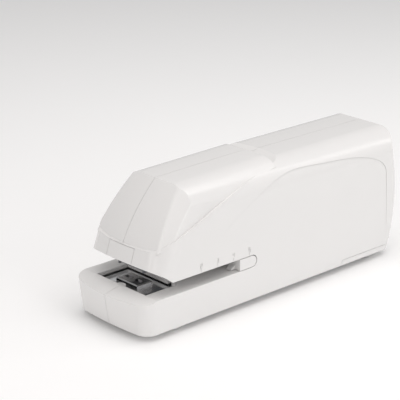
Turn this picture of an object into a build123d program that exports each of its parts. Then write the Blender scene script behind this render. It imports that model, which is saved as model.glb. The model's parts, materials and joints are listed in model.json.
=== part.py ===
from build123d import *
from math import acos, atan2, cos, hypot, pi, radians, sin, sqrt, tan
import os

os.makedirs("parts", exist_ok=True)

# Frame: the nose points to -Y, the rear to +Y, +Z is up, and z = 0 is the table under the feet.

# Driving dimensions of the housing
wall = 1.8                    # plastic wall
half_width = 25.15            # from the middle seam to a side
front_y = -85.4               # front of the base at its top edge
rear_y = 85.4                 # rearmost line of the rear face
floor_z = 2.5                 # underside of the housing, the height of the feet
rear_top_z = 65.1             # flat top behind the cap
cap_top_z = 66.3              # highest line of the front cap
loft_margin = 0.06            # the lofts reach this far past the sides, which the section makes
cap_inset = 1.1               # the front cap stands this far inside the sides
shoulder_x = 10.9             # where the flat top starts to round over
shoulder_r = 13.7             # rounding between top and side
seam_gap = 0.07               # half of the line between the two housing halves
deck_z = 19.3                 # top of the base, where the paper lies
slot_top_z = 25.35            # underside of the nose
slot_end_y = -14.7            # rear end of the paper slot
recess_tilt = 0.45            # degrees by which the side recess leans inwards
recess_rear_z = 8.0           # the recess fades out here at its rear end
band_front_y = -77.1          # lower edge of the band round the nose
band_low_z = 31.7
band_top_z = 38.9
face_low_z, face_low_y = 39.2, -73.8   # sloping nose face above the band
face_lean, face_bend = 0.443, 0.0110
opening_half = 17.0           # anvil opening in the deck
opening_front_y = -75.5
opening_rear_y = -57.0
staple_y = -68.0              # line on which the blade pushes a staple
base_plate_z, anvil_support_z, anvil_plate_z, anvil_low_z, anvil_top_z = 13.2, 14.7, 15.7, 16.9, 19.9

# Driving dimensions of the mechanism
panel_half = 8.4              # front panel of the magazine
panel_gap = 0.15
carrier_half = 8.8            # outside of the stamped carrier
plate_half = 9.2              # inside faces of the two chassis plates
plate_thick = 1.0
outer_plate_x = 20.2
arm_pivot = (-20.0, 40.5)     # (y, z) of each axis that runs along X
carrier_pivot = (-8.0, 31.5)
cam_axis = (4.5, 31.5)
sensor_axis = (-52.0, 13.0)
roller_r = 3.0
roller_reach = 24.5           # arm pivot to roller axis
arm_swing = 15.2              # degrees that the arm turns in one stroke
cam_gap = 0.3                 # running gap between cam and roller
pressure_angle = radians(20)
tooth_height = 0.75           # addendum in modules
backlash = 0.10
cam_teeth, second_teeth, first_teeth, pinion_teeth = 40, 41, 36, 12
cam_module, second_module, first_module = 0.8, 0.7, 0.6
second_angle, first_angle, motor_angle = radians(12), radians(-60), radians(-165)
axle_r, shaft_r, running_gap = 1.5, 2.5, 0.06
motor_r = 10.6
channel_half = 7.6            # staple channel of the magazine
channel_low_z, channel_top_z = 26.4, 34.2
channel_rear_y = -17.6
staple_half, staple_wire = 6.35, 0.6
staple_top_z, staple_leg = 34.0, 6.0
strip_length = 26.0
blade_thick = 0.6
cell_r, cell_pitch = 7.15, 14.75
cell_rows = (57.9, 72.4)
cell_low_z, cell_high_z = 5.9, 55.1
bay_wall_y = 49.5
door_front_y = 44.0
door_lip_z = 5.9
foot_r = 4.8
feet_x, front_foot_y, rear_foot_y = 16.5, -60.5, 68.5
screw_places = [(-72.0, 8.8), (-34.0, 9.6), (45.6, 9.8), (45.4, 57.4), (10.5, 58.3), (-45.0, 57.2)]
post_r, sink_r, hole_r, pilot_r = 3.4, 2.9, 1.6, 1.25
low_post_reach, high_post_reach = 24.2, 19.2   # post ends stay within the wall


# ---- helpers -------------------------------------------------------------

def block(x_low, x_high, y_low, y_high, z_low, z_high):
    size = (x_high - x_low, y_high - y_low, z_high - z_low)
    middle = ((x_low + x_high) / 2, (y_low + y_high) / 2, (z_low + z_high) / 2)
    return Pos(*middle) * Box(*size)


def extrude_x(edges, x_low, x_high):
    """Closed outline in (y, z), carried along X."""
    return extrude(Plane.YZ.offset(x_low) * make_face(edges), x_high - x_low)


def polygon_x(points, x_low, x_high):
    return extrude_x(Polyline(*points, close=True), x_low, x_high)


def extrude_y(edges, y_low, y_high, drop=0.0):
    """Closed outline in (x, z), carried forwards along -Y and down by drop."""
    plane = Plane((0, y_high, 0), x_dir=(1, 0, 0), z_dir=(0, -1, 0))
    length = hypot(y_high - y_low, drop)
    return extrude(plane * make_face(edges), length, dir=(0, y_low - y_high, -drop))


def rod_x(centre, radius, x_low, x_high):
    face = Plane.YZ.offset(x_low) * Pos(*centre) * Circle(radius)
    return extrude(face, x_high - x_low)


def rod_y(x, z, radius, y_low, y_high):
    plane = Plane((x, y_low, z), x_dir=(1, 0, 0), z_dir=(0, 1, 0))
    return extrude(plane * Circle(radius), y_high - y_low)


def rod_z(x, y, radius, z_low, z_high):
    return Pos(x, y, z_low) * Cylinder(radius, z_high - z_low, align=(Align.CENTER, Align.CENTER, Align.MIN))


def joined(pieces):
    total = pieces[0]
    for piece in pieces[1:]:
        total = total + piece
    return total


def save(name, shape):
    solids = shape.solids()
    export_step(solids[0] if len(solids) == 1 else Compound(children=list(solids)), f"parts/{name}.step")


# ---- outer shape of the housing -------------------------------------------

def section(inset, low_z, top_z, side_inset=0.0):
    """Cross-section in (x, z): upright sides that lean in a little, and a round shoulder."""
    side = half_width - side_inset - inset
    low = low_z + inset
    radius = shoulder_r - inset
    centre_z = top_z - 0.2 - shoulder_r
    upper = side - 0.55
    centre_x = upper - radius
    top = centre_z + radius
    corner = max(1.4 - inset, 0.3)
    diagonal = radius * sqrt(0.5)
    edges = []
    for s in (1, -1):
        edges.append(Line((0, low), (s * (side - corner), low)))
        bend = corner * (1 - sqrt(0.5))
        edges.append(ThreePointArc((s * (side - corner), low), (s * (side - bend), low + bend), (s * side, low + corner)))
        edges.append(Line((s * side, low + corner), (s * side, 28)))
        edges.append(ThreePointArc((s * side, 28), (s * (side - 0.14), 40), (s * upper, centre_z)))
        shoulder = (s * (centre_x + diagonal), centre_z + diagonal)
        edges.append(ThreePointArc((s * upper, centre_z), shoulder, (s * centre_x, top)))
    edges.append(ThreePointArc((centre_x, top), (0, top + 0.2), (-centre_x, top)))
    return edges


def bowed_outline(half, front, rear, bow, radius, rear_half, facet=0.0):
    """Plan outline with a bowed front edge; each front corner is round, or a facet with two round edges."""
    half, rear_half = half + loft_margin, rear_half + loft_margin
    arc = ThreePointArc((-half, front + bow), (0, front), (half, front + bow))
    back = Polyline((half, front + bow), (rear_half, rear), (-rear_half, rear), (-half, front + bow))
    face = make_face([*arc.edges(), *back.edges()])
    corners = 2
    if facet:
        face = chamfer(face.vertices().sort_by(Axis.Y)[:corners], facet)
        corners = 4
    return fillet(face.vertices().sort_by(Axis.Y)[:corners], radius)


def bowed_loft(levels, inset, rear, rear_half):
    """Solid through bowed outlines; levels lists (z, front, half width, bow, corner radius, corner facet)."""
    outlines = []
    for z, front, half, bow, radius, facet in levels:
        corner = radius if facet else radius - inset
        outline = bowed_outline(half - inset, front + inset, rear, bow, corner, rear_half - inset, facet)
        outlines.append(Pos(0, 0, z) * outline)
    return loft(outlines)


def base_loft(inset):
    levels = []
    steps = ((floor_z - 0.1, 2.8, 0.75, 1.6, 7.0), (9.5, 1.5, 0.3, 2.8, 6.8), (deck_z + 0.1, 0.0, 0.0, 3.7, 6.5))
    for z, behind, narrowing, bow, radius in steps:
        levels.append((z, front_y + behind, half_width - narrowing, bow, radius, 0.0))
    return bowed_loft(levels, inset, slot_end_y + 6, half_width)


def band_loft(inset):
    lean = 0.32
    levels = []
    for z, half, radius in ((slot_top_z - 1, half_width, 9.5), (70.0, half_width - 1.6, 14.0)):
        levels.append((z, band_front_y + lean * (z - band_low_z), half, 3.6, radius, 0.0))
    return bowed_loft(levels, inset, slot_end_y, half_width)


def cap_loft(inset):
    rear_half = half_width - cap_inset
    levels = []
    for z, narrowing, facet in ((34.0, 0.0, 2.9), (45.0, 0.5, 3.9), (57.0, 2.0, 5.4), (68.0, 3.6, 6.4)):
        t = z - face_low_z
        levels.append((z, face_low_y + face_lean * t + face_bend * t * t, rear_half - narrowing, 3.2, 2.2, facet))
    return bowed_loft(levels, inset, 20.0, rear_half)


def rear_loft(inset):
    levels = [(floor_z - 0.1, 81.0, 6.6), (9.0, 83.2, 5.6), (19.0, 84.8, 4.9), (33.0, rear_y, 4.6), (50.0, 84.7, 7.0), (66.5, 83.2, 8.5)]
    outlines = []
    for z, back, radius in levels:
        outline = bowed_outline(half_width - inset, inset - back, 80, 1.5, radius - inset, half_width - inset)
        outlines.append(Pos(0, 0, z) * Rot(0, 0, 180) * outline)
    return loft(outlines)


crease = [(-75.6, 38.6), (-73.2, 39.2), (-69.6, 41.3), (-62.5, 44.6), (-50.6, 49.1), (-38.1, 54.1), (-24.4, 58.4), (-8.6, 61.9), (2.4, 63.6)]


def below_crease(lower):
    """Everything under the line that sweeps up from the nose band to the top."""
    points = [(y, z - lower) for y, z in crease]
    edges = [Spline(*points), *Polyline(points[-1], (120, 63.6 - lower), (120, -5), (-120, -5), (-120, points[0][1]), points[0]).edges()]
    return extrude_x(edges, -40, 40)


def nose_underside(inset):
    """Region above the underside of the nose, which rises to the band."""
    front = band_front_y - 6
    edges = [
        Line((slot_end_y, slot_top_z + inset), (-66.6 + inset, slot_top_z + inset)),
        ThreePointArc((-66.6 + inset, slot_top_z + inset), (-71.4 + inset * 0.5, 28.9 + inset), (band_front_y - 0.2, band_low_z + inset)),
        *Polyline((band_front_y - 0.2, band_low_z + inset), (front, band_low_z + inset), (front, 90), (slot_end_y, 90), (slot_end_y, slot_top_z + inset)).edges(),
    ]
    return extrude_x(edges, -40, 40)


def rear_shape(inset):
    """The body behind the nose, with its top edge rounded into the rear face."""
    body = extrude_y(section(inset, floor_z, rear_top_z), slot_end_y - 40, rear_y) & rear_loft(inset)
    top = rear_top_z + 0.05
    high, end = (84.2 - inset, rear_top_z - 3.2), (80.6 - inset, top)
    edges = [
        ThreePointArc(high, (83.15 - inset, rear_top_z - 0.9), end),
        *Polyline(end, (slot_end_y - 60, top), (slot_end_y - 60, floor_z - 1), (100, floor_z - 1), (100, high[1]), high).edges(),
    ]
    return body & extrude_x(edges, -40, 40)


def cap_shape(inset):
    """Front cap: sloping nose face, round shoulders, and a top that rises towards its rear edge."""
    body = extrude_y(section(inset, floor_z, cap_top_z, cap_inset), -80, 2.2 - inset, drop=1.5)
    body = body & cap_loft(inset)
    top = [(-90, 10), (-90, 80), (0.2 - inset, 80), (0.2 - inset, cap_top_z + 0.3)]
    edges = [
        *Polyline(*top).edges(),
        ThreePointArc(top[-1], (1.75 - inset, cap_top_z - 0.5), (2.2 - inset, cap_top_z - 2.2)),
        *Polyline((2.2 - inset, cap_top_z - 2.2), (2.2 - inset, 10), (-90, 10)).edges(),
    ]
    return body & extrude_x(edges, -40, 40)


def valley():
    """Shallow dip across the top behind the cap."""
    return polygon_x([(-1.0, 70), (-1.0, 63.8), (3.4, 63.6), (5.2, 63.9), (10.8, 65.35), (10.8, 70)], -40, 40)


def side_recess():
    """Shallow panel on each side, deepest along its top edge and gone at its lower front."""
    top = Spline((-40, 38), (-30, 44.2), (-17.3, 51.1), (-7.2, 55.5), (7.2, 59.0), (29.5, 58.4), (52.1, 56.6), (67.7, 52.4), (73.2, 48.6), (74.9, 44.5))
    low = Polyline((74.9, 44.5), (76.6, recess_rear_z), (76.6, 4.0), (-40, 4.0), (-40, 38))
    prism = extrude_x([top, *low.edges()], 15, 40)
    fade_line = Axis((half_width, -40, 38), (0, 76.6 + 40, recess_rear_z - 38))
    cut = prism - rear_shape(0).rotate(fade_line, -recess_tilt)
    return cut + mirror(cut, about=Plane.YZ)


def paper_slot():
    """Open at the front and both sides, with a round rear end."""
    end_r = (slot_top_z - deck_z) / 2
    slot = block(-40, 40, -100, slot_end_y - end_r, deck_z, slot_top_z)
    return slot + rod_x((slot_end_y - end_r, deck_z + end_r), end_r, -40, 40)


def outer_body():
    lower_front = extrude_y(section(0, floor_z, rear_top_z), -100, slot_end_y)
    base = lower_front & base_loft(0) & block(-40, 40, -100, slot_end_y, 0, deck_z)
    base = base - polygon_x([(-76.0, deck_z), (-90.0, deck_z - 3.3), (-90.0, deck_z + 5), (-76.0, deck_z + 5)], -40, 40)
    nose = lower_front & band_loft(0) & nose_underside(0)
    rear = rear_shape(0) & block(-40, 40, slot_end_y - 2.5, 100, 0, 90)
    body = (nose + base + rear) & below_crease(0)
    behind = rear_shape(0) & block(-40, 40, 2.2, 100, 50, 90)
    cap = cap_shape(0) - below_crease(1.5)
    body = body + (behind - valley()) + cap
    return body - paper_slot()


def inner_body():
    lower_front = extrude_y(section(wall, floor_z, rear_top_z), -100, slot_end_y)
    base = lower_front & base_loft(wall) & block(-40, 40, -100, slot_end_y, 0, 40)
    nose = lower_front & band_loft(wall) & nose_underside(wall)
    rear = rear_shape(wall) & block(-40, 40, slot_end_y - 2.5, 100, 0, 90)
    body = (nose + base + rear) & below_crease(2.2)
    behind = rear_shape(wall) & block(-40, 40, 6.0, 100, 40, rear_top_z - wall)
    passage = rear_shape(wall) & block(-40, 40, -6.0, 12.0, 40, 61.0)
    cap = (cap_shape(wall) - nose_low_block()) & block(-40, 40, -90, 0, slot_top_z + wall, 90)
    return body + behind + passage + cap - slot_walls()


def nose_low_block():
    return block(-40, 40, -90, 0, 0, 36.0)


def slot_walls():
    return block(-40, 40, -100, slot_end_y + wall, deck_z - wall, slot_top_z + wall)


# ---- housing pieces -------------------------------------------------------

def housing():
    """Hollow shell with screw posts, before it is cut into two halves."""
    shell = outer_body() - inner_body()
    for place in screw_places:
        reach = low_post_reach if place[1] < slot_top_z else high_post_reach
        shell = shell + rod_x(place, post_r, -reach, reach)
    shell = shell - block(-opening_half, opening_half, opening_front_y, opening_rear_y, deck_z - 4, deck_z + 2)
    shell = shell - block(-9.3, 9.3, -100, -17.0, slot_top_z - 1, slot_top_z + wall + 3)
    shell = shell - block(-panel_half - panel_gap, panel_half + panel_gap, -100, -64.0, slot_top_z - 1, band_top_z - 0.2)
    shell = shell - block(10.6, 13.2, -57.5, -46.0, deck_z - 3, deck_z + 1)
    shell = shell - block(19.9, 22.1, -57.0, slot_end_y - 2.5, slot_top_z - 1, slot_top_z + wall + 1)
    shell = shell - block(-40, 40, door_front_y, 100, 0, door_lip_z)
    shell = shell - rod_x((38.0, 12.5), 3.4, -40, -20)
    shell = shell - block(-40, -20, -20.2, -11.8, 30.8, 37.2)
    tab = rod_z(0, opening_front_y - 0.4, 2.6, deck_z - 0.7, deck_z) & block(-5, 5, opening_front_y - 1, -60, 0, 40)
    return shell + tab - side_recess()


def left_half(shell):
    pilot = joined([rod_x(place, pilot_r, -1, 16) for place in screw_places])
    return (shell & block(seam_gap, 40, -100, 100, 0, 80)) - pilot


def right_half(shell):
    half = shell & block(-40, -seam_gap, -100, 100, 0, 80)
    holes = joined([rod_x(place, hole_r, -40, 1) for place in screw_places])
    sinks = joined([rod_x(place, sink_r, -40, -12) for place in screw_places])
    return half - holes - sinks


def housing_screws():
    screws = []
    for place in screw_places:
        screw = rod_x(place, 1.2, -12.2, 10.0) + rod_x(place, 2.6, -13.8, -12.0)
        slot = joined([Pos(-13.8, *place) * Rot(turn, 0, 0) * Box(1.4, 3.0, 0.6) for turn in (0, 90)])
        screws.append(screw - slot)
    return joined(screws)


def battery_door():
    tray = rear_shape(0) & block(-40, 40, door_front_y + 0.2, 100, 0, door_lip_z - 0.15)
    hollow = rear_shape(wall) & block(-40, 40, door_front_y + 2.0, 100, floor_z + wall, 20)
    thumb = joined([block(-7, 7, y, y + 0.8, floor_z - 1, floor_z + 0.5) for y in (48.5, 50.5, 52.5)])
    return tray - hollow - thumb


def feet(y):
    return joined([rod_z(s * feet_x, y, foot_r, 0.0, floor_z) for s in (1, -1)])


# ---- gears ----------------------------------------------------------------

def toothed(teeth, module, turn, centre, x_low, x_high):
    """Spur wheel with involute flanks; turn is the direction of one tooth."""
    pitch_r = module * teeth / 2
    base_r = pitch_r * cos(pressure_angle)
    tip_r = pitch_r + tooth_height * module
    root_r = pitch_r - (tooth_height + 0.3) * module
    half_pitch = pi / (2 * teeth) - backlash / (2 * pitch_r)

    def half_angle(radius):
        flank = acos(min(1.0, base_r / radius))
        return half_pitch + (tan(pressure_angle) - pressure_angle) - (tan(flank) - flank)

    def point(radius, angle):
        return (centre[0] + radius * cos(angle), centre[1] + radius * sin(angle))

    edges = []
    middle_r = (max(base_r, root_r) + tip_r) / 2
    for i in range(teeth):
        axis = turn + 2 * pi * i / teeth
        rise = [point(r, axis - half_angle(r)) for r in (root_r, middle_r, tip_r)]
        fall = [point(r, axis + half_angle(r)) for r in (tip_r, middle_r, root_r)]
        following = point(root_r, axis + 2 * pi / teeth - half_angle(root_r))
        edges.append(ThreePointArc(*rise))
        edges.append(Line(rise[2], fall[0]))
        edges.append(ThreePointArc(*fall))
        edges.append(Line(fall[2], following))
    return extrude_x(edges, x_low, x_high)


def beside(centre, distance, angle):
    return (centre[0] + distance * cos(angle), centre[1] + distance * sin(angle))


second_axis = beside(cam_axis, cam_module * (cam_teeth + pinion_teeth) / 2, second_angle)
first_axis = beside(second_axis, second_module * (second_teeth + pinion_teeth) / 2, first_angle)
motor_axis = beside(first_axis, first_module * (first_teeth + pinion_teeth) / 2, motor_angle)


def mating_turn(angle, teeth):
    """Turn of a wheel whose gap faces back along angle."""
    return angle + pi + pi / teeth


def cam_gear():
    wheel = toothed(cam_teeth, cam_module, second_angle, cam_axis, 10.8, 14.8)
    dish = rod_x(cam_axis, 13.2, 13.2, 16) - rod_x(cam_axis, 6.0, 13.2, 16)
    holes = joined([rod_x(beside(cam_axis, 9.6, pi * i / 3), 2.6, 10, 16) for i in range(6)])
    hub = rod_x(cam_axis, 5.0, 10.8, 19.6)
    return wheel - dish - holes + hub - rod_x(cam_axis, shaft_r + 0.02, 0, 30)


def second_gear():
    wheel = toothed(second_teeth, second_module, first_angle, second_axis, 15.7, 18.7)
    wheel = wheel - (rod_x(second_axis, 11.6, 17.6, 20) - rod_x(second_axis, 4.0, 17.6, 20))
    pinion = toothed(pinion_teeth, cam_module, mating_turn(second_angle, pinion_teeth), second_axis, 10.8, 15.7)
    return wheel + pinion - rod_x(second_axis, axle_r + running_gap, 0, 30)


def first_gear():
    wheel = toothed(first_teeth, first_module, motor_angle, first_axis, 11.0, 13.8)
    pinion = toothed(pinion_teeth, second_module, mating_turn(first_angle, pinion_teeth), first_axis, 13.8, 18.9)
    return wheel + pinion - rod_x(first_axis, axle_r + running_gap, 0, 30)


def motor_pinion():
    turn = mating_turn(motor_angle, pinion_teeth)
    pinion = toothed(pinion_teeth, first_module, turn, motor_axis, 10.9, 14.0)
    return pinion - rod_x(motor_axis, 1.0, 0, 30)


def cam_shaft():
    """Shaft with a heart-shaped cam that lifts the roller at a constant rate."""
    steps = 24
    lift = []
    for i in range(steps + 1):
        swing = radians(arm_swing) * i / steps
        y = arm_pivot[0] + roller_reach * cos(swing) - cam_axis[0]
        z = arm_pivot[1] + roller_reach * sin(swing) - cam_axis[1]
        lift.append((hypot(y, z) - roller_r - cam_gap, atan2(z, y) + pi * i / steps))
    start, end = lift[0][1], lift[-1][1]
    shrink = (2 * pi - end + start) / (end - start)
    rising = [beside(cam_axis, r, angle) for r, angle in lift]
    falling = [beside(cam_axis, r, start - (angle - start) * shrink) for r, angle in reversed(lift[1:-1])]
    outline = Spline(*rising, *falling, periodic=True)
    cam = extrude_x(outline, -2.0, 2.0)
    return cam + rod_x(cam_axis, shaft_r, -plate_half - plate_thick, outer_plate_x + plate_thick)


# ---- chassis --------------------------------------------------------------

def chassis_plate(x_low, rear):
    outline = [(-26, 28.6), (-11.8, 28.6), (-11.8, 11.0), (rear * 0.84, 11.0), (rear, 18.0), (rear, 47.0), (rear * 0.42, 55.0), (-14, 53.5), (-26, 53.5)]
    plate = polygon_x(outline, x_low, x_low + plate_thick)
    return plate - rod_x(cam_axis, shaft_r + running_gap, -40, 40) - rod_x((-16.0, 34.0), 3.0, -40, 0)


def left_plate():
    return chassis_plate(-plate_half - plate_thick, 8.2)


def right_plate():
    plate = chassis_plate(plate_half, 43.2) - rod_x(motor_axis, 3.2, 0, 40)
    return plate - joined([rod_x(axis, axle_r + 0.02, 0, 40) for axis in (second_axis, first_axis)])


outer_posts = [(40.6, 42.0), (13.0, 52.4), (8.0, 12.9)]
chassis_posts = [(-7.5, 19.4), (-21.0, 51.0)]


def outer_plate():
    outline = [(4, 10.6), (35, 10.6), (43.2, 18), (43.2, 44.5), (16, 55), (10, 55), (-1, 38), (-1, 25)]
    plate = polygon_x(outline, outer_plate_x, outer_plate_x + plate_thick)
    plate = plate - rod_x(cam_axis, shaft_r + running_gap, 0, 40)
    return plate - joined([rod_x(axis, axle_r + 0.02, 0, 40) for axis in (second_axis, first_axis)])


def gearbox_posts():
    return joined([rod_x(place, 2.0, plate_half + plate_thick, outer_plate_x) for place in outer_posts])


def chassis_spacers():
    return joined([rod_x(place, 1.7, -plate_half, plate_half) for place in chassis_posts])


def gear_axle(axis):
    return rod_x(axis, axle_r, plate_half, outer_plate_x + plate_thick)


def base_plate():
    low, high = base_plate_z, anvil_support_z
    plate = block(-9.0, 9.0, -74.0, 7.0, low, high)
    return plate + block(-12.0, 12.0, -74.0, -57.5, low, high)


def anvil_support():
    return block(-11.0, 11.0, -73.0, -59.0, anvil_support_z, anvil_plate_z)


def anvil_plate():
    clear = 0.3
    return block(
        clear - opening_half, opening_half - clear, opening_front_y + clear, opening_rear_y - clear, anvil_plate_z, anvil_low_z
    )


def anvil():
    """Raised block with the two hollows that turn the legs inwards."""
    body = block(-7.2, 7.2, -72.2, -63.2, anvil_low_z, anvil_top_z)
    body = chamfer(body.edges().group_by(Axis.Z)[-1], 0.5)
    for s in (1, -1):
        hollow = Pos(s * 3.3, staple_y + 0.3, 22.6) * Rot(90, 0, 0) * Cylinder(3.5, 2.2)
        body = body - hollow
    return body


# ---- stapling head --------------------------------------------------------

def driver_arm():
    cheek = [(8.3, 38.2), (8.3, 42.6), (-10, 45.6), (-42, 50.4), (-60, 50.4), (-64, 48.4), (-64, 42.3), (-40, 38.7), (-24, 37.9), (-10, 37.9)]
    arm = joined([polygon_x(cheek, *sorted((s * 3.2, s * 4.4))) for s in (1, -1)])
    web = polygon_x([(-60, 49.2), (-42, 49.2), (-24, 46.1), (-24, 47.3), (-42, 50.4), (-60, 50.4)], -3.3, 3.3)
    finger = block(-3.3, 3.3, -64.0, -58.0, 42.3, 44.0) + block(-3.0, 3.0, -69.5, -64.0, 42.3, 44.0)
    roller_axis = (arm_pivot[0] + roller_reach, arm_pivot[1])
    arm = arm + web + finger - rod_x(arm_pivot, 1.2 + running_gap, -40, 40)
    return arm - rod_x(roller_axis, 1.0 + 0.02, -40, 40)


def arm_roller():
    roller_axis = (arm_pivot[0] + roller_reach, arm_pivot[1])
    return rod_x(roller_axis, roller_r, -2.9, 2.9) - rod_x(roller_axis, 1.0 + running_gap, -40, 40)


def roller_pin():
    return rod_x((arm_pivot[0] + roller_reach, arm_pivot[1]), 1.0, -4.4, 4.4)


def arm_pivot_pin():
    return rod_x(arm_pivot, 1.2, -plate_half, plate_half)


def carrier_pins():
    return rod_x(carrier_pivot, 1.5, 6.9, plate_half) + rod_x(carrier_pivot, 1.5, -plate_half, -6.9)


def head_carrier():
    """Stamped channel that holds the magazine and swings down onto the paper."""
    side = [(-69.6, 25.6), (-20.4, 25.6), (-17.6, 28.5), (-8.0, 28.5), (-4.8, 31.5), (-8.0, 34.6), (-69.6, 34.6)]
    walls = [polygon_x(side, *sorted((s * (carrier_half - 0.9), s * carrier_half))) for s in (1, -1)]
    web = block(-carrier_half + 0.5, carrier_half - 0.5, -65.0, -21.0, 25.6, 26.1)
    return joined([*walls, web]) - rod_x(carrier_pivot, 1.5 + running_gap, -40, 40)


def staple_channel():
    inner = channel_half - 0.7
    outside = block(-channel_half, channel_half, -69.4, channel_rear_y, channel_low_z, channel_top_z)
    hollow = block(-inner, inner, -68.4, channel_rear_y - 0.8, channel_low_z + 0.7, 60)
    rail = block(-5.5, 5.5, -67.0, channel_rear_y - 0.4, channel_low_z + 0.3, 33.2)
    rail = rail - block(-4.6, 4.6, -66.2, channel_rear_y - 1.2, channel_low_z + 0.8, 60)
    mouth = block(-6.6, 6.6, -68.4, -67.0, 20, channel_low_z + 1)
    return outside - hollow + rail - mouth


def front_panel():
    band = extrude_y(section(0, floor_z, rear_top_z), -100, slot_end_y) & band_loft(0) & nose_underside(0)
    panel = band & block(-panel_half, panel_half, -80, -73.4, 0, band_top_z - 0.2 - panel_gap)
    return panel + block(-6.0, 6.0, -73.6, -69.4, 29.5, 35.5)


def staple_strip():
    rear = -66.9 + strip_length
    crown = block(-staple_half, staple_half, -66.9, rear, staple_top_z - staple_wire, staple_top_z)
    legs = [block(*sorted((s * (staple_half - staple_wire), s * staple_half)), -66.9, rear, staple_top_z - staple_leg, staple_top_z) for s in (1, -1)]
    return joined([crown, *legs])


def staple_pusher():
    front = -66.9 + strip_length + 0.05
    shoe = block(-6.3, 6.3, front, front + 9.0, 33.4, 34.1)
    sides = [block(*sorted((s * 5.7, s * 6.3)), front, front + 9.0, 28.6, 33.4) for s in (1, -1)]
    hook = block(-2.6, 2.6, front + 1.0, front + 2.4, 28.4, 33.4)
    return joined([shoe, *sides, hook]) - rod_y(0, 30.2, 0.9, front - 5, front + 20)


def pusher_rod():
    return rod_y(0, 30.2, 0.8, -66.2, channel_rear_y - 1.2)


def pusher_spring():
    front = -66.9 + strip_length + 2.45
    rear = channel_rear_y - 1.2
    return rod_y(0, 30.2, 1.8, front, rear) - rod_y(0, 30.2, 1.0, front - 1, rear + 1)


def driver_blade():
    front = staple_y
    blade = block(-6.2, 6.2, front, front + blade_thick, 34.8, 45.4)
    return blade - block(-3.5, 3.5, front - 1, front + 2, 41.2, 44.5)


# ---- electrics and small pieces ---------------------------------------------

def motor_can():
    body = rod_x(motor_axis, motor_r, -18.0, plate_half)
    return body - rod_x(motor_axis, 1.1, -40, 40)


def motor_end_cap():
    cap = rod_x(motor_axis, motor_r - 0.8, -20.4, -18.0)
    y, z = motor_axis
    lugs = [block(-22.0, -20.4, y + s * 5 - 1, y + s * 5 + 1, z + 3, z + 6) for s in (1, -1)]
    return joined([cap, *lugs])


def motor_shaft():
    return rod_x(motor_axis, 1.0, -17.0, 14.6)


def motor_leads():
    y, z = motor_axis
    return joined([rod_z(-21.2, y + s * 5, 0.7, z + 6.0, 35.0) for s in (1, -1)])


def circuit_board():
    return block(-17.0, -15.4, -2.0, 40.0, 31.0, 54.5)


def board_parts():
    y = motor_axis[0]
    lead_block = block(-22.2, -17.0, y - 7.5, y + 7.5, 35.0, 39.0)
    relay = block(-15.4, -11.0, 22.0, 34.0, 38.0, 46.0)
    chip = block(-15.4, -13.8, 8.0, 16.0, 34.0, 40.0)
    capacitor = rod_x((32.0, 50.0), 2.8, -15.4, -7.0)
    diodes = [rod_x((8.0 + 4 * i, 50.0), 0.9, -15.4, -12.5) for i in range(3)]
    return joined([lead_block, relay, chip, capacitor, *diodes])


def battery_bay():
    partition = block(-22.6, 22.6, bay_wall_y, bay_wall_y + 0.9, 6.3, 50.0)
    upper = block(-20.0, 20.0, bay_wall_y, bay_wall_y + 0.9, 50.0, 57.2)
    ceiling = block(-20.0, 20.0, bay_wall_y, 80.5, 56.0, 57.2)
    return joined([partition, upper, ceiling])


def battery_cell(x, y, flipped):
    nub = 1.0
    low = cell_low_z + (nub if flipped else 0)
    can = rod_z(x, y, cell_r, low, low + cell_high_z - cell_low_z - nub)
    can = chamfer(can.edges().filter_by(GeomType.CIRCLE), 0.5)
    if flipped:
        return can + rod_z(x, y, 2.7, cell_low_z, low)
    return can + rod_z(x, y, 2.7, cell_high_z - nub, cell_high_z)


def bay_contacts():
    return joined([block(x - 6, x + 6, 51.5, 79.0, 55.5, 55.95) for x in (-cell_pitch, 0, cell_pitch)])


def door_contacts():
    pieces = [block(x - 6, x + 6, 52.0, 78.5, 4.3, 4.7) for x in (-cell_pitch, 0, cell_pitch)]
    pieces += [rod_z(x, y, 2.2, 4.6, 5.6) for x in (-cell_pitch, 0, cell_pitch) for y in cell_rows]
    return joined(pieces)


def dc_jack():
    barrel = rod_x((38.0, 12.5), 3.3, -24.7, -14.0) - rod_x((38.0, 12.5), 2.8, -30, -16.0)
    return barrel + rod_x((38.0, 12.5), 1.0, -23.5, -14.0) + block(-23.2, -14.0, 34.0, 42.0, 6.6, 9.4)


def release_button():
    button = block(-25.6, -22.4, -19.9, -12.1, 31.1, 36.9)
    button = chamfer(button.faces().sort_by(Axis.X)[0].edges(), 0.6)
    flange = block(-22.6, -21.6, -21.2, -10.8, 29.9, 38.1)
    return button + flange + rod_x((-16.0, 34.0), 2.2, -21.6, -12.2)


def button_spring():
    return rod_x((-16.0, 34.0), 3.4, -21.5, -10.3) - rod_x((-16.0, 34.0), 2.6, -30, 0)


def depth_stop():
    """Slider in the rear of the slot; its outer end is a rounded thumb pad."""
    low, high = deck_z + 0.3, slot_top_z - 0.3
    radius = (high - low) / 2
    front, rear = slot_end_y - 11.0, slot_end_y - 0.5
    pad = block(13.9, 25.25, front, rear - radius, low, high) + rod_x((rear - radius, low + radius), radius, 13.9, 25.25)
    tongue = block(20.1, 21.9, front + 1, rear - 4, high, slot_top_z + wall + 0.2)
    keeper = block(19.1, 22.9, front + 1, rear - 4, slot_top_z + wall + 0.2, slot_top_z + wall + 1.2)
    pointer = polygon_x([(front - 3.2, low), (front, low), (front, low + 2.2)], 19.0, 22.0)
    return pad + tongue + keeper + pointer


def sensor_lever():
    y, z = sensor_axis
    lever = polygon_x([(y - 1.6, z - 2.5), (y + 1.6, z - 2.5), (y + 1.6, z + 6), (y - 0.6, 23.2), (y - 2.0, 23.2), (y - 1.6, z + 6)], 11.0, 12.8)
    return lever - rod_x(sensor_axis, 0.8 + running_gap, 0, 40)


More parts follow.
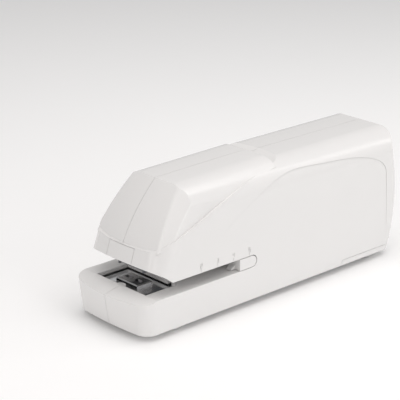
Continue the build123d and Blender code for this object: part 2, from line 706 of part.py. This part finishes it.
def sensor_bracket():
    y, z = sensor_axis
    return block(9.0, 10.4, y - 3.0, y + 3.0, z - 2.5, 16.0) + rod_x(sensor_axis, 0.8, 10.4, 13.4)


def paper_switch():
    y = sensor_axis[0]
    return block(10.8, 16.4, y + 3.2, y + 12.0, 6.0, 12.6) + block(12.2, 13.4, y + 2.6, y + 3.2, 9.0, 10.6)


shell = housing()
save("left_housing", left_half(shell))
save("right_housing", right_half(shell))
save("housing_screws", housing_screws())
save("battery_door", battery_door())
save("front_feet", feet(front_foot_y))
save("rear_feet", feet(rear_foot_y))

save("left_chassis_plate", left_plate())
save("right_chassis_plate", right_plate())
save("gearbox_plate", outer_plate())
save("gearbox_posts", gearbox_posts())
save("chassis_spacers", chassis_spacers())
save("base_plate", base_plate())
save("anvil_support", anvil_support())
save("anvil_plate", anvil_plate())
save("anvil", anvil())

save("cam_gear", cam_gear())
save("cam_shaft", cam_shaft())
save("second_gear", second_gear())
save("first_gear", first_gear())
save("second_gear_axle", gear_axle(second_axis))
save("first_gear_axle", gear_axle(first_axis))
save("motor_pinion", motor_pinion())
save("motor_shaft", motor_shaft())
save("motor_can", motor_can())
save("motor_end_cap", motor_end_cap())
save("motor_leads", motor_leads())

save("driver_arm", driver_arm())
save("arm_roller", arm_roller())
save("roller_pin", roller_pin())
save("arm_pivot_pin", arm_pivot_pin())
save("carrier_pivot_pins", carrier_pins())
save("head_carrier", head_carrier())
save("staple_channel", staple_channel())
save("front_panel", front_panel())
save("staple_strip", staple_strip())
save("staple_pusher", staple_pusher())
save("pusher_rod", pusher_rod())
save("pusher_spring", pusher_spring())
save("driver_blade", driver_blade())

save("circuit_board", circuit_board())
save("board_parts", board_parts())
save("battery_bay", battery_bay())
save("bay_contacts", bay_contacts())
save("door_contacts", door_contacts())
for row, y in enumerate(cell_rows):
    for column in (-1, 0, 1):
        flipped = (row + column) % 2 == 1
        save(f"battery_cell_{row * 3 + column + 2}", battery_cell(column * cell_pitch, y, flipped))
save("dc_jack", dc_jack())
save("release_button", release_button())
save("button_spring", button_spring())
save("depth_stop", depth_stop())
save("sensor_lever", sensor_lever())
save("sensor_bracket", sensor_bracket())
save("paper_switch", paper_switch())
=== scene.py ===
import bpy, json, math
from mathutils import Matrix, Vector


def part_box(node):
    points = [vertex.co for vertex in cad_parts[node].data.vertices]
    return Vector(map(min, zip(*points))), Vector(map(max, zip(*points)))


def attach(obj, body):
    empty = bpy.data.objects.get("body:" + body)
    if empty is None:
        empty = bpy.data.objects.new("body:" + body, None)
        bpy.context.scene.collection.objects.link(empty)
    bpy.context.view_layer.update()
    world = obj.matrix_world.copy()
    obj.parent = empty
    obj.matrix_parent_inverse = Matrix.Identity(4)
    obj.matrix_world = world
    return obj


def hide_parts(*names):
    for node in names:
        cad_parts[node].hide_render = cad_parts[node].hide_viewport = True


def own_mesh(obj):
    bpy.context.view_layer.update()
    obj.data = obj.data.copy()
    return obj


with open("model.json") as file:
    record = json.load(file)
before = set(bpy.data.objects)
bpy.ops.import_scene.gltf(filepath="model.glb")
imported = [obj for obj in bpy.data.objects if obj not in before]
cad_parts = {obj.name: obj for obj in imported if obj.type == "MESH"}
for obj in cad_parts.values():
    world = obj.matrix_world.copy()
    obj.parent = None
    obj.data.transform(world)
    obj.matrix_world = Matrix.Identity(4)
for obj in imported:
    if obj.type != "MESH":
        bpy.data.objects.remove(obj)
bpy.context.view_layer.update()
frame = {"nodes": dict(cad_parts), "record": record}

nodes = frame["nodes"]
slotOf = {entry["node"]: entry["material_slot"] for entry in frame["record"]["subparts"]}


def newPiece(name, verts, faces, body, slot, look=None, smooth=True):
    mesh = bpy.data.meshes.new(name)
    mesh.from_pydata([tuple(v) for v in verts], [], faces)
    mesh.validate()
    mesh.update()
    for polygon in mesh.polygons:
        polygon.use_smooth = smooth
    piece = bpy.data.objects.new(name, mesh)
    bpy.context.collection.objects.link(piece)
    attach(piece, body)
    mesh.materials.append(materialOf[look or slot])
    return piece


def corners(node):
    return [Vector(corner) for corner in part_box(node)]


def merge(parts):
    verts, faces = [], []
    for partVerts, partFaces in parts:
        offset = len(verts)
        verts += partVerts
        faces += [tuple(i + offset for i in face) for face in partFaces]
    return verts, faces


def slab(lowX, highX, lowY, highY, lowZ, highZ):
    verts = [(x, y, z) for x in (lowX, highX) for y in (lowY, highY) for z in (lowZ, highZ)]
    faces = [(0, 1, 3, 2), (4, 6, 7, 5), (0, 4, 5, 1), (2, 3, 7, 6), (1, 5, 7, 3), (0, 2, 6, 4)]
    return verts, faces


def tube(points, radius, sides):  # a round wire through points, with end caps
    verts, faces = [], []
    side = None
    for i, point in enumerate(points):
        ahead = points[min(i + 1, len(points) - 1)] - points[max(i - 1, 0)]
        ahead.normalize()
        if side is None:
            side = ahead.orthogonal().normalized()
        side = (side - ahead * side.dot(ahead)).normalized()
        across = ahead.cross(side)
        for k in range(sides):
            a = 2 * math.pi * k / sides
            verts.append(point + (side * math.cos(a) + across * math.sin(a)) * radius)
    for i in range(len(points) - 1):
        this, following = i * sides, (i + 1) * sides
        for k in range(sides):
            n = (k + 1) % sides
            faces.append((this + k, this + n, following + n, following + k))
    faces.append(tuple(reversed(range(sides))))
    faces.append(tuple(range((len(points) - 1) * sides, len(points) * sides)))
    return verts, faces


def lathe(profile, centre, steps):  # (radius, height) points turned about an upright axis
    verts, rings, faces = [], [], []
    for radius, height in profile:
        if radius == 0:
            rings.append([len(verts)])
            verts.append(Vector((centre[0], centre[1], height)))
            continue
        ring = []
        for k in range(steps):
            a = 2 * math.pi * k / steps
            ring.append(len(verts))
            verts.append(Vector((centre[0] + radius * math.cos(a), centre[1] + radius * math.sin(a), height)))
        rings.append(ring)
    for low, high in zip(rings, rings[1:]):
        for k in range(steps):
            n = (k + 1) % steps
            if len(low) == 1:
                faces.append((low[0], high[n], high[k]))
            elif len(high) == 1:
                faces.append((low[k], low[n], high[0]))
            else:
                faces.append((low[k], low[n], high[n], high[k]))
    return verts, faces


cameraSetup = {
    "spot": (0.48587, -0.47509, 0.28553),
    "turn": 47.346,
    "dip": 19.785,
    "roll": 0.151,
    "lens": 136.8,
    "sensor": 36,
    "nearest": 0.01,
    "farthest": 20,
}


def placeCamera(setup):
    data = bpy.data.cameras.new("camera")
    data.lens = setup["lens"]
    data.sensor_width = setup["sensor"]
    data.clip_start, data.clip_end = setup["nearest"], setup["farthest"]
    camera = bpy.data.objects.new("camera", data)
    turned = Matrix.Rotation(math.radians(setup["turn"]), 4, "Z")
    turned = turned @ Matrix.Rotation(math.radians(90 - setup["dip"]), 4, "X")
    turned = turned @ Matrix.Rotation(math.radians(setup["roll"]), 4, "Z")
    camera.matrix_world = Matrix.Translation(setup["spot"]) @ turned
    bpy.context.collection.objects.link(camera)
    bpy.context.scene.camera = camera


stageSetup = {
    "floorHalf": 3.0,
    "floorShade": 0.98,
    "floorRoughness": 0.9,
    "floorDrop": 0.0003,  # keeps the floor clear of the feet's flat undersides
    "skyShade": 1.0,
    "skyStrength": 0.45,
}
lamps = {  # place, aim, width, height, watts, tint
    "overhead": ((0.05, 0.05, 0.75), (0, 0, 0.03), 0.7, 0.9, 3.05, (1.0, 0.965, 0.95)),
    "sideSoft": ((0.85, 0.15, 0.35), (0, 0, 0.03), 0.8, 0.6, 1.5, (1.0, 0.99, 0.985)),
    "frontStrip": ((0.30, -0.75, 0.45), (0, -0.04, 0.03), 0.25, 0.6, 0.85, (1.0, 0.935, 0.90)),
    "noseStrip": ((-0.02, -0.71, 0.27), (0, -0.06, 0.04), 0.06, 0.5, 0.3, (1.0, 0.97, 0.95)),
    "sideStrip": ((0.70, -0.04, 0.29), (0, -0.06, 0.04), 0.05, 0.5, 0.22, (1.0, 0.99, 0.99)),
    "shoulderStrip": ((0.28, 0.50, 0.54), (0, 0, 0.06), 0.07, 0.8, 0.5, (1.0, 0.985, 0.975)),
}


def grey(shade):
    return (shade, shade, shade, 1)


def layFloor(setup):
    half = setup["floorHalf"]
    mesh = bpy.data.meshes.new("floor")
    outline = [(-half, -half, 0), (half, -half, 0), (half, half, 0), (-half, half, 0)]
    mesh.from_pydata(outline, [], [(0, 1, 2, 3)])
    floor = bpy.data.objects.new("floor", mesh)
    floor.location.z = -setup["floorDrop"]
    bpy.context.collection.objects.link(floor)
    paper = bpy.data.materials.new("paperFloor")
    paper.use_nodes = True
    shader = paper.node_tree.nodes["Principled BSDF"]
    shader.inputs["Base Color"].default_value = grey(setup["floorShade"])
    shader.inputs["Roughness"].default_value = setup["floorRoughness"]
    mesh.materials.append(paper)


def lightSky(setup):
    world = bpy.data.worlds.new("studio")
    world.use_nodes = True
    background = world.node_tree.nodes["Background"]
    background.inputs["Color"].default_value = grey(setup["skyShade"])
    background.inputs["Strength"].default_value = setup["skyStrength"]
    bpy.context.scene.world = world


def hangLamps(rows):
    for name, (place, aim, width, height, watts, tint) in rows.items():
        data = bpy.data.lights.new(name, "AREA")
        data.shape = "RECTANGLE"
        data.size, data.size_y = width, height
        data.energy = watts
        data.color = tint
        lamp = bpy.data.objects.new(name, data)
        lamp.location = place
        lamp.rotation_euler = (Vector(aim) - Vector(place)).to_track_quat("-Z", "Y").to_euler()
        bpy.context.collection.objects.link(lamp)


placeCamera(cameraSetup)
layFloor(stageSetup)
lightSky(stageSetup)
hangLamps(lamps)
bpy.context.scene.view_settings.view_transform = "Standard"
print("stage ready")


def socket(group, name, inOut, kind, value=None):
    made = group.interface.new_socket(name=name, in_out=inOut, socket_type=kind)
    if value is not None:
        made.default_value = value


def effectGroup(name, setup):  # an empty shared effect with its common sockets
    group = bpy.data.node_groups.new(name, "ShaderNodeTree")
    socket(group, "Colour", "INPUT", "NodeSocketColor", grey(setup["shade"]))
    socket(group, "Roughness", "INPUT", "NodeSocketFloat", setup["roughness"])
    socket(group, "Colour", "OUTPUT", "NodeSocketColor")
    socket(group, "Roughness", "OUTPUT", "NodeSocketFloat")
    socket(group, "Height", "OUTPUT", "NodeSocketFloat")
    return group


def noise(tree, detail, scale=None):
    made = tree.new("ShaderNodeTexNoise")
    made.inputs["Detail"].default_value = detail
    if scale is not None:
        made.inputs["Scale"].default_value = scale
    return made


def maths(tree, operation):
    made = tree.new("ShaderNodeMath")
    made.operation = operation
    return made


skinEffect = {
    "shade": 0.8,
    "roughness": 0.3,
    "grain": 1500.0,
    "tone": 0.03,
    "glossSpread": 0.08,
    "fineDetail": 3,
    "broadScale": 38,
    "broadDetail": 4,
    "noiseMiddle": 0.5,
}


def mouldedSkinGroup(setup):  # plastic: fine texture, broad uneven gloss, slight change of tone
    group = effectGroup("mouldedSkin", setup)
    socket(group, "Grain", "INPUT", "NodeSocketFloat", setup["grain"])
    socket(group, "Tone", "INPUT", "NodeSocketFloat", setup["tone"])
    socket(group, "Gloss spread", "INPUT", "NodeSocketFloat", setup["glossSpread"])
    tree, link = group.nodes, group.links.new
    given, out = tree.new("NodeGroupInput"), tree.new("NodeGroupOutput")
    place = tree.new("ShaderNodeTexCoord")
    fine = noise(tree, setup["fineDetail"])
    link(place.outputs["Object"], fine.inputs["Vector"])
    link(given.outputs["Grain"], fine.inputs["Scale"])
    broad = noise(tree, setup["broadDetail"], setup["broadScale"])
    link(place.outputs["Object"], broad.inputs["Vector"])
    centred = maths(tree, "SUBTRACT")
    centred.inputs[1].default_value = setup["noiseMiddle"]
    link(broad.outputs["Fac"], centred.inputs[0])
    spread = maths(tree, "MULTIPLY_ADD")
    link(centred.outputs[0], spread.inputs[0])
    link(given.outputs["Gloss spread"], spread.inputs[1])
    link(given.outputs["Roughness"], spread.inputs[2])
    link(spread.outputs[0], out.inputs["Roughness"])
    shade = maths(tree, "MULTIPLY_ADD")
    shade.inputs[2].default_value = 1.0
    link(centred.outputs[0], shade.inputs[0])
    link(given.outputs["Tone"], shade.inputs[1])
    toned = tree.new("ShaderNodeHueSaturation")
    link(shade.outputs[0], toned.inputs["Value"])
    link(given.outputs["Colour"], toned.inputs["Color"])
    link(toned.outputs["Color"], out.inputs["Colour"])
    link(fine.outputs["Fac"], out.inputs["Height"])
    return group


grainEffect = {
    "shade": 0.6,
    "roughness": 0.3,
    "stretch": (4000.0, 60.0, 4000.0),
    "scuffs": 0.15,
    "lineDetail": 3,
    "lineGloss": 0.12,
    "scuffScale": 220,
    "scuffDetail": 6,
    "darkest": 0.88,
    "brightest": 1.08,
}


def drawnGrainGroup(setup):  # metal: fine lines along one direction, with scattered scuffs
    group = effectGroup("drawnGrain", setup)
    socket(group, "Stretch", "INPUT", "NodeSocketVector", setup["stretch"])
    socket(group, "Scuffs", "INPUT", "NodeSocketFloat", setup["scuffs"])
    tree, link = group.nodes, group.links.new
    given, out = tree.new("NodeGroupInput"), tree.new("NodeGroupOutput")
    place = tree.new("ShaderNodeTexCoord")
    scaled = tree.new("ShaderNodeVectorMath")
    scaled.operation = "MULTIPLY"
    link(place.outputs["Object"], scaled.inputs[0])
    link(given.outputs["Stretch"], scaled.inputs[1])
    lines = noise(tree, setup["lineDetail"], 1.0)
    link(scaled.outputs[0], lines.inputs["Vector"])
    scuff = noise(tree, setup["scuffDetail"], setup["scuffScale"])
    link(place.outputs["Object"], scuff.inputs["Vector"])
    mixed = maths(tree, "MULTIPLY_ADD")
    link(scuff.outputs["Fac"], mixed.inputs[0])
    link(given.outputs["Scuffs"], mixed.inputs[1])
    link(given.outputs["Roughness"], mixed.inputs[2])
    rough = maths(tree, "MULTIPLY_ADD")
    rough.inputs[1].default_value = setup["lineGloss"]
    link(lines.outputs["Fac"], rough.inputs[0])
    link(mixed.outputs[0], rough.inputs[2])
    link(rough.outputs[0], out.inputs["Roughness"])
    shade = tree.new("ShaderNodeMapRange")
    shade.inputs["To Min"].default_value = setup["darkest"]
    shade.inputs["To Max"].default_value = setup["brightest"]
    link(scuff.outputs["Fac"], shade.inputs["Value"])
    toned = tree.new("ShaderNodeHueSaturation")
    link(shade.outputs[0], toned.inputs["Value"])
    link(given.outputs["Colour"], toned.inputs["Color"])
    link(toned.outputs["Color"], out.inputs["Colour"])
    link(lines.outputs["Fac"], out.inputs["Height"])
    return group


mouldedSkin, drawnGrain = mouldedSkinGroup(skinEffect), drawnGrainGroup(grainEffect)
bevelSamples = 4


def finish(name, group, values, shaderValues, bump):  # a shared effect and its bump feed one shader
    material = bpy.data.materials.new(name)
    material.use_nodes = True
    tree, link = material.node_tree.nodes, material.node_tree.links.new
    shader = tree["Principled BSDF"]
    for key, value in shaderValues.items():
        shader.inputs[key].default_value = value
    effect = tree.new("ShaderNodeGroup")
    effect.node_tree = group
    for key, value in values.items():
        effect.inputs[key].default_value = value
    link(effect.outputs["Colour"], shader.inputs["Base Color"])
    link(effect.outputs["Roughness"], shader.inputs["Roughness"])
    raised = tree.new("ShaderNodeBump")
    raised.inputs["Strength"].default_value = bump["strength"]
    raised.inputs["Distance"].default_value = bump["depth"]
    link(effect.outputs["Height"], raised.inputs["Height"])
    if bump["rounding"]:
        softened = tree.new("ShaderNodeBevel")
        softened.samples = bevelSamples
        softened.inputs["Radius"].default_value = bump["rounding"]
        link(softened.outputs["Normal"], raised.inputs["Normal"])
    link(raised.outputs["Normal"], shader.inputs["Normal"])
    return material


def skin(shade, roughness, grain, tone, bump, depth=0.0001, rounding=None, shader=None):
    values = {"Colour": (*shade, 1), "Roughness": roughness, "Grain": grain, "Tone": tone}
    return mouldedSkin, values, shader or {}, {"strength": bump, "depth": depth, "rounding": rounding}


def drawn(shade, roughness, bump, depth=0.0001, scuffs=0.15, stretch=(4000, 60, 4000)):
    values = {"Colour": (*shade, 1), "Roughness": roughness, "Scuffs": scuffs, "Stretch": stretch}
    return drawnGrain, values, {"Metallic": 1.0}, {"strength": bump, "depth": depth, "rounding": None}


glossCoat = {"IOR": 1.5, "Coat Weight": 0.15, "Coat Roughness": 0.12}
rubberDepth = {"Subsurface Weight": 0.3, "Subsurface Radius": (0.002, 0.002, 0.002)}
gearDepth = {"Subsurface Weight": 0.15, "Subsurface Radius": (0.001, 0.001, 0.001)}
maskCoat = {"Coat Weight": 0.4}
jacketCoat = {"Coat Weight": 0.6, "Coat Roughness": 0.05}
acrossGrain = (60, 4000, 4000)
finishes = {
    "white_plastic": skin(shade=(0.78, 0.772, 0.765), roughness=0.2, grain=900, tone=0.03, bump=0.10,
                          rounding=0.0002, shader=glossCoat),
    # darker grey for the scale's ticks and numbers: painted shade standing in for the shading of the embossed
    # marks
    "scale_painted_shade": skin(shade=(0.66, 0.655, 0.65), roughness=0.4, grain=1800, tone=0.05, bump=0.1),
    "white_inner": skin(shade=(0.72, 0.715, 0.70), roughness=0.5, grain=2200, tone=0.05, bump=0.25),
    "clear_rubber": skin(shade=(0.60, 0.60, 0.585), roughness=0.42, grain=2600, tone=0.06, bump=0.3,
                         shader=rubberDepth),
    "zinc_steel": drawn(shade=(0.60, 0.61, 0.62), roughness=0.30, bump=0.12),
    "polished_steel": drawn(shade=(0.80, 0.81, 0.82), roughness=0.03, bump=0.03, depth=0.00005, scuffs=0.04),
    "dark_steel": drawn(shade=(0.18, 0.185, 0.20), roughness=0.28, bump=0.15),
    "anvil_steel": drawn(shade=(0.44, 0.435, 0.44), roughness=0.04, bump=0.03, depth=0.00005, scuffs=0.05),
    "staple_wire": drawn(shade=(0.72, 0.73, 0.74), roughness=0.22, bump=0.10, depth=0.00005),
    "pom_gear": skin(shade=(0.84, 0.82, 0.75), roughness=0.36, grain=1800, tone=0.05, bump=0.15,
                     shader=gearDepth),
    "brass": drawn(shade=(0.78, 0.58, 0.25), roughness=0.22, bump=0.12, stretch=acrossGrain),
    "motor_steel": drawn(shade=(0.62, 0.63, 0.65), roughness=0.24, bump=0.12, stretch=acrossGrain),
    "black_plastic": skin(shade=(0.018, 0.018, 0.02), roughness=0.42, grain=2600, tone=0.3, bump=0.35),
    "grey_plastic": skin(shade=(0.16, 0.165, 0.17), roughness=0.45, grain=2600, tone=0.2, bump=0.3),
    "wire_red": skin(shade=(0.42, 0.02, 0.015), roughness=0.38, grain=1200, tone=0.1, bump=0.1),
    "board_green": skin(shade=(0.012, 0.14, 0.05), roughness=0.3, grain=700, tone=0.5, bump=0.2,
                        depth=0.0002, shader=maskCoat),
    "board_black": skin(shade=(0.03, 0.03, 0.033), roughness=0.4, grain=2400, tone=0.3, bump=0.3),
    "cell_jacket": skin(shade=(0.05, 0.06, 0.09), roughness=0.2, grain=300, tone=0.1, bump=0.06,
                        depth=0.0002, shader=jacketCoat),
    "contact_plate": drawn(shade=(0.74, 0.72, 0.66), roughness=0.2, bump=0.1, stretch=(60, 3000, 3000)),
}
materialOf = {name: finish(name, *parts) for name, parts in finishes.items()}


def overlayColour(material, mask, second):  # the second colour shows where the mask is 1
    tree, link = material.node_tree.nodes, material.node_tree.links.new
    shader = tree["Principled BSDF"]
    first = shader.inputs["Base Color"].links[0].from_socket
    mixed = tree.new("ShaderNodeMix")
    mixed.data_type = "RGBA"
    link(mask, mixed.inputs["Factor"])
    link(first, mixed.inputs["A"])
    mixed.inputs["B"].default_value = second
    link(mixed.outputs["Result"], shader.inputs["Base Color"])


cellBand = {"edge": 0.040, "colour": (0.62, 0.30, 0.10, 1)}


def jacketBand(setup):  # the copper-coloured upper part of a cell's jacket
    material = materialOf["cell_jacket"]
    tree, link = material.node_tree.nodes, material.node_tree.links.new
    place, parts = tree.new("ShaderNodeTexCoord"), tree.new("ShaderNodeSeparateXYZ")
    link(place.outputs["Object"], parts.inputs[0])
    above = maths(tree, "GREATER_THAN")
    above.inputs[1].default_value = setup["edge"]
    link(parts.outputs["Z"], above.inputs[0])
    overlayColour(material, above.outputs[0], setup["colour"])


boardTracks = {"density": 420.0, "lineWidth": 0.03, "turn": 90, "colour": (0.03, 0.26, 0.10, 1)}


def copperTracks(setup):  # copper shows paler through the board's solder mask
    material = materialOf["board_green"]
    tree, link = material.node_tree.nodes, material.node_tree.links.new
    place, bricks = tree.new("ShaderNodeTexCoord"), tree.new("ShaderNodeTexBrick")
    turned = tree.new("ShaderNodeMapping")
    turned.inputs["Rotation"].default_value = (0, math.radians(setup["turn"]), 0)
    link(place.outputs["Object"], turned.inputs["Vector"])
    link(turned.outputs["Vector"], bricks.inputs["Vector"])
    bricks.inputs["Scale"].default_value = setup["density"]
    bricks.inputs["Mortar Size"].default_value = setup["lineWidth"]
    overlayColour(material, bricks.outputs["Fac"], setup["colour"])


jacketBand(cellBand)
copperTracks(boardTracks)
for node, shown in nodes.items():
    shown.data.materials.clear()
    shown.data.materials.append(materialOf[slotOf[node]])
print("finishes ready")


depthScale = {
    "firstY": -0.0497,
    "spacing": 0.010,
    "numbers": ("2", "3", "4", "5"),
    "lowZ": 0.02585,
    "tickHeight": 0.0013,
    "tickWidth": 0.00035,
    "digitStep": 0.00045,
    "strokeWidth": 0.00026,
    "digitGap": 0.00055,
    "sunk": 0.0002,
    "proud": 0.00012,
}
digitStrokes = {  # each stroke runs from (across, up) to (across, up) on a grid 2 wide and 4 high
    "2": ((0, 4, 2, 4), (2, 4, 2, 2), (2, 2, 0, 2), (0, 2, 0, 0), (0, 0, 2, 0)),
    "3": ((0, 4, 2, 4), (2, 4, 2, 0), (0, 2, 2, 2), (0, 0, 2, 0)),
    "4": ((0, 4, 0, 2), (0, 2, 2, 2), (2, 4, 2, 0)),
    "5": ((2, 4, 0, 4), (0, 4, 0, 2), (0, 2, 2, 2), (2, 2, 2, 0), (2, 0, 0, 0)),
}


def depthMarks(setup):  # the scale above the paper slot; its darker grey is painted shade standing in for the shading along the embossed marks
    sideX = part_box("left_housing")[1][0]
    lowX, highX = sideX - setup["sunk"], sideX + setup["proud"]
    step = setup["digitStep"]
    for i, number in enumerate(setup["numbers"]):
        y, z = setup["firstY"] + i * setup["spacing"], setup["lowZ"]
        half = setup["tickWidth"] / 2
        verts, faces = slab(lowX, highX, y - half, y + half, z, z + setup["tickHeight"])
        newPiece(f"depth_tick_{i + 1}", verts, faces, "housing", "white_plastic", "scale_painted_shade", smooth=False)
        half = setup["strokeWidth"] / 2
        baseZ = z + setup["tickHeight"] + setup["digitGap"]
        strokes = []
        for y0, z0, y1, z1 in digitStrokes[number]:
            lowY, highY = (y + (across - 1) * step for across in sorted((y0, y1)))
            lowZ, highZ = (baseZ + up * step for up in sorted((z0, z1)))
            strokes.append(slab(lowX, highX, lowY - half, highY + half, lowZ - half, highZ + half))
        verts, faces = merge(strokes)
        newPiece(f"depth_number_{i + 1}", verts, faces, "housing", "white_plastic", "scale_painted_shade", smooth=False)


depthMarks(depthScale)
print("depth scale ready")


footShape = {
    "radius": 0.0048,
    "lip": 0.0005,
    "lipAngles": (0.5, 1.0, 1.5),
    "dish": 0.0004,
    "dishRadius": 0.0034,
    "dishFlat": 0.8,
    "dishEdge": 0.00005,
    "topBevel": (0.0002, 0.0003),
    "steps": 48,
}


def softFeet(node, body, setup):
    low, high = corners(node)
    r, lip = setup["radius"], setup["lip"]
    flat, (bevelIn, bevelDown) = setup["dishFlat"], setup["topBevel"]
    profile = [(0, setup["dish"]), (setup["dishRadius"] * flat, setup["dish"] * flat)]
    profile += [(setup["dishRadius"], setup["dishEdge"]), (r - lip, 0.0)]
    profile += [(r - lip + lip * math.sin(a), lip - lip * math.cos(a)) for a in setup["lipAngles"]]
    profile += [(r, high.z - bevelDown), (r - bevelIn, high.z), (0, high.z)]
    middleY = (low.y + high.y) / 2
    parts = [lathe(profile, (x, middleY), setup["steps"]) for x in (low.x + r, high.x - r)]
    verts, faces = merge(parts)
    piece = newPiece(f"{node}_soft", verts, faces, body, "clear_rubber")
    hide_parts(node)


softFeet("front_feet", "housing", footShape)
softFeet("rear_feet", "door", footShape)
print("feet ready")


stapleShape = {
    "wire": 0.00028,
    "sides": 8,
    "pitch": 0.0006,
    "cornerRadius": 0.0006,
    "cornerSteps": 4,
}


def stapleStrip(setup):  # one wire for each staple
    low, high = corners("staple_strip")
    wire, corner = setup["wire"], setup["cornerRadius"]
    left, right, top = low.x + wire, high.x - wire, high.z - wire
    path = [(left, low.z), (left, top - corner)]
    for side, centreX, start in ((-1, left + corner, math.pi), (1, right - corner, math.pi / 2)):
        for k in range(1, setup["cornerSteps"]):
            a = start - math.pi / 2 * k / setup["cornerSteps"]
            path.append((centreX + corner * math.cos(a), top - corner + corner * math.sin(a)))
        if side < 0:
            path += [(left + corner, top), (right - corner, top)]
    path += [(right, top - corner), (right, low.z)]
    parts = []
    for i in range(int((high.y - low.y) / setup["pitch"])):
        y = low.y + (i + 0.5) * setup["pitch"]
        parts.append(tube([Vector((x, y, z)) for x, z in path], wire, setup["sides"]))
    verts, faces = merge(parts)
    piece = newPiece("staples", verts, faces, "magazine", "staple_wire")
    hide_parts("staple_strip")


stapleStrip(stapleShape)
print("staples ready")


coilSteps, coilSides = 20, 8
springs = {
    "pusher_spring": {
        "axis": "Y",
        "turns": 17,
        "wire": 0.00028,
        "body": "magazine",
        "joint": "pusher_slide",
        "keep": 0.49,
    },
    "button_spring": {
        "axis": "X",
        "turns": 9,
        "wire": 0.00035,
        "body": "housing",
        "joint": "release_button_press",
        "keep": 0.73,
    },
}


def woundSpring(node, setup):
    low, high = corners(node)
    centre = (low + high) / 2
    along = 0 if setup["axis"] == "X" else 1
    across = 1 - along
    wire = setup["wire"]
    radius = (high.z - low.z) / 2 - wire
    length = high[along] - low[along] - 2 * wire
    total = setup["turns"] * coilSteps
    points = []
    for k in range(total + 1):
        angle = 2 * math.pi * k / coilSteps
        spot = Vector((0, 0, 0))
        spot[along] = low[along] + wire + length * k / total
        spot[across] = centre[across] + radius * math.cos(angle)
        spot.z = centre.z + radius * math.sin(angle)
        points.append(spot)
    verts, faces = tube(points, wire, coilSides)
    piece = newPiece(f"{node}_wound", verts, faces, setup["body"], "dark_steel")
    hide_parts(node)
    return piece, high


for node, setup in springs.items():
    coil, coilHigh = woundSpring(node, setup)  # the end that stays put is the high one
    if setup["axis"] == "Y":
        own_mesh(coil)
    else:
        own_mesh(coil)
print("springs ready")
